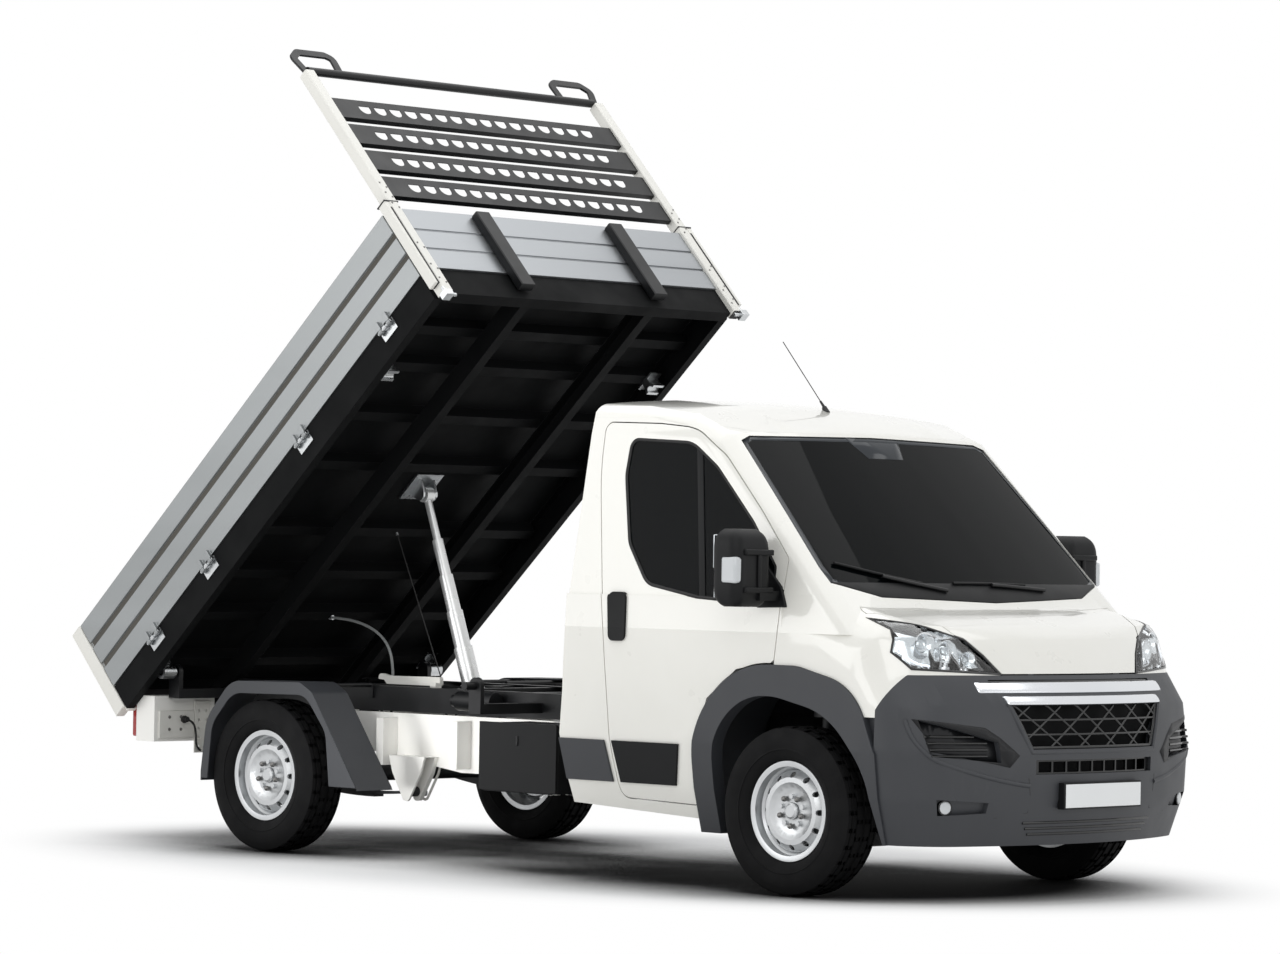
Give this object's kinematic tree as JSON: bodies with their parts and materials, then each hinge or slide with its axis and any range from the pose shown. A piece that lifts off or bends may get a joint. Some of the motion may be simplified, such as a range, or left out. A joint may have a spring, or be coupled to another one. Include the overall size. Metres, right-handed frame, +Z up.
{
  "type": "tipper truck",
  "caption": "Light tipper truck with a short two-door cab, a bare ladder frame and a raised three-sided dropside bed on a telescopic ram.",
  "frame": {"origin": "on the ground under the middle of the whole length and width, with the bed raised", "axes": "+X to the vehicle's left, +Y towards its rear, +Z up"},
  "size_m": [2.5424, 5.8508, 3.9163],
  "materials": {
    "white_paint": "gloss",
    "dark_plastic": "matte",
    "black_paint": "satin",
    "steel": "satin",
    "zinc": "satin",
    "ram_steel": "polished",
    "aluminium": "satin",
    "wheel_silver": "satin",
    "tyre": "matte",
    "dark_glass": "gloss",
    "lamp": "gloss",
    "red_lamp": "gloss",
    "seat_fabric": "matte",
    "hose_rubber": "matte"
  },
  "bodies": {
    "chassis": {"chassis_frame": "white_paint", "subframe": "black_paint", "suspension": "black_paint", "engine_block": "black_paint", "exhaust": "steel", "fuel_tank": "dark_plastic", "cab_floor": "white_paint", "cab_roof": "white_paint", "cab_rear_wall": "white_paint", "cab_sides": "white_paint", "cab_glass": "dark_glass", "bumper": "dark_plastic", "grille": "dark_plastic", "headlights": "lamp", "front_wings": "white_paint", "arch_trims": "dark_plastic", "dashboard": "dark_plastic", "seats": "seat_fabric", "toolbox": "dark_plastic", "pump_unit": "dark_plastic", "safety_prop": "white_paint", "rear_lamps": "red_lamp", "hose": "hose_rubber", "limit_cable": "hose_rubber"},
    "bonnet": {"bonnet": "white_paint"},
    "steering_wheel": {"steering_wheel": "dark_plastic"},
    "bed": {"bed_frame": "black_paint", "headboard": "aluminium", "corner_posts": "white_paint", "rack": "black_paint", "bed_fittings": "zinc"},
    "tailgate": {"tailgate": "aluminium"},
    "toolbox_lid": {"toolbox_lid": "dark_plastic"},
    "ram_barrel": {"ram_barrel": "ram_steel"},
    "door_left": {"door_left": "white_paint", "door_glass_left": "dark_glass", "door_trim_left": "dark_plastic"},
    "drop_side_left": {"drop_side_left": "aluminium"},
    "knuckle_left": {"knuckle_left": "steel"},
    "wheel_front_left": {"rim_front_left": "wheel_silver", "tyre_front_left": "tyre"},
    "wheel_rear_left": {"rim_rear_left": "wheel_silver", "tyre_rear_left": "tyre"},
    "door_right": {"door_right": "white_paint", "door_glass_right": "dark_glass", "door_trim_right": "dark_plastic"},
    "drop_side_right": {"drop_side_right": "aluminium"},
    "knuckle_right": {"knuckle_right": "steel"},
    "wheel_front_right": {"rim_front_right": "wheel_silver", "tyre_front_right": "tyre"},
    "wheel_rear_right": {"rim_rear_right": "wheel_silver", "tyre_rear_right": "tyre"},
    "ram_stage_1": {"ram_stage_1": "ram_steel"},
    "ram_stage_2": {"ram_stage_2": "ram_steel"},
    "ram_stage_3": {"ram_stage_3": "ram_steel"},
    "ram_stage_4": {"ram_stage_4": "ram_steel"},
    "ram_stage_5": {"ram_stage_5": "ram_steel"}
  },
  "joints": [
    {"name": "bed_tip", "type": "hinge", "parent": "chassis", "child": "bed", "pos_m": [0, 2.29358, 0.85], "axis": [-1, 0, 0], "range_deg": [-42.44, 0], "deforming": ["hose", "limit_cable"]},
    {"name": "ram_swing", "type": "hinge", "parent": "chassis", "child": "ram_barrel", "pos_m": [0, 1.03158, 0.785], "axis": [-1, 0, 0], "range_deg": [-23.57, 0]},
    {"name": "ram_slide_1", "type": "slide", "parent": "ram_barrel", "child": "ram_stage_1", "axis": [0, 0.3477, 0.9376], "range_m": [-0.18153, 0]},
    {"name": "ram_slide_2", "type": "slide", "parent": "ram_stage_1", "child": "ram_stage_2", "axis": [0, 0.3477, 0.9376], "range_m": [-0.18153, 0]},
    {"name": "ram_slide_3", "type": "slide", "parent": "ram_stage_2", "child": "ram_stage_3", "axis": [0, 0.3477, 0.9376], "range_m": [-0.18153, 0]},
    {"name": "ram_slide_4", "type": "slide", "parent": "ram_stage_3", "child": "ram_stage_4", "axis": [0, 0.3477, 0.9376], "range_m": [-0.18153, 0]},
    {"name": "ram_slide_5", "type": "slide", "parent": "ram_stage_4", "child": "ram_stage_5", "axis": [0, 0.3477, 0.9376], "range_m": [-0.18153, 0]},
    {"name": "tailgate_swing", "type": "hinge", "parent": "bed", "child": "tailgate", "pos_m": [0, 2.88431, 1.03072], "axis": [1, 0, 0], "range_deg": [0, 90]},
    {"name": "drop_side_left_fold", "type": "hinge", "parent": "bed", "child": "drop_side_left", "pos_m": [1.034, 1.47029, 1.75458], "axis": [0, 0.738, -0.6748], "range_deg": [0, 175]},
    {"name": "drop_side_right_fold", "type": "hinge", "parent": "bed", "child": "drop_side_right", "pos_m": [-1.034, 1.47029, 1.75458], "axis": [0, -0.738, 0.6748], "range_deg": [0, 175]},
    {"name": "door_left_swing", "type": "hinge", "parent": "chassis", "child": "door_left", "pos_m": [1.005, -1.95842, 1], "axis": [0, 0, -1], "range_deg": [0, 65]},
    {"name": "door_right_swing", "type": "hinge", "parent": "chassis", "child": "door_right", "pos_m": [-1.005, -1.95842, 1], "axis": [0, 0, 1], "range_deg": [0, 65]},
    {"name": "bonnet_lift", "type": "hinge", "parent": "chassis", "child": "bonnet", "pos_m": [0, -2.26142, 1.265], "axis": [-1, 0, 0], "range_deg": [0, 50]},
    {"name": "toolbox_lid_drop", "type": "hinge", "parent": "chassis", "child": "toolbox_lid", "pos_m": [-0.923, -0.22342, 0.374], "axis": [0, -1, 0], "range_deg": [0, 95]},
    {"name": "steer_left", "type": "hinge", "parent": "chassis", "child": "knuckle_left", "pos_m": [0.827, -1.97342, 0.372], "axis": [0, 0, 1], "range_deg": [-35, 35]},
    {"name": "steer_right", "type": "hinge", "parent": "chassis", "child": "knuckle_right", "pos_m": [-0.827, -1.97342, 0.372], "axis": [0, 0, 1], "range_deg": [-35, 35]},
    {"name": "steering_turn", "type": "hinge", "parent": "chassis", "child": "steering_wheel", "pos_m": [0.4, -1.51842, 1.18], "axis": [0, 0.8829, 0.4695], "range_deg": [-526, 526]},
    {"name": "wheel_front_left_spin", "type": "hinge", "parent": "knuckle_left", "child": "wheel_front_left", "pos_m": [0.905, -1.97342, 0.372], "axis": [1, 0, 0], "continuous": true},
    {"name": "wheel_front_right_spin", "type": "hinge", "parent": "knuckle_right", "child": "wheel_front_right", "pos_m": [-0.905, -1.97342, 0.372], "axis": [1, 0, 0], "continuous": true},
    {"name": "wheel_rear_left_spin", "type": "hinge", "parent": "chassis", "child": "wheel_rear_left", "pos_m": [0.895, 1.47658, 0.372], "axis": [1, 0, 0], "continuous": true},
    {"name": "wheel_rear_right_spin", "type": "hinge", "parent": "chassis", "child": "wheel_rear_right", "pos_m": [-0.895, 1.47658, 0.372], "axis": [1, 0, 0], "continuous": true}
  ],
  "couplings": [
    {"joint": "ram_swing", "follows": "bed_tip", "ratio": 0.55504},
    {"joint": "ram_slide_1", "follows": "bed_tip", "m_per_rad": 0.24493},
    {"joint": "ram_slide_2", "follows": "bed_tip", "m_per_rad": 0.24493},
    {"joint": "ram_slide_3", "follows": "bed_tip", "m_per_rad": 0.24493},
    {"joint": "ram_slide_4", "follows": "bed_tip", "m_per_rad": 0.24493},
    {"joint": "ram_slide_5", "follows": "bed_tip", "m_per_rad": 0.24493},
    {"joint": "steer_right", "follows": "steer_left", "ratio": 1},
    {"joint": "steering_turn", "follows": "steer_left", "ratio": 15}
  ]
}
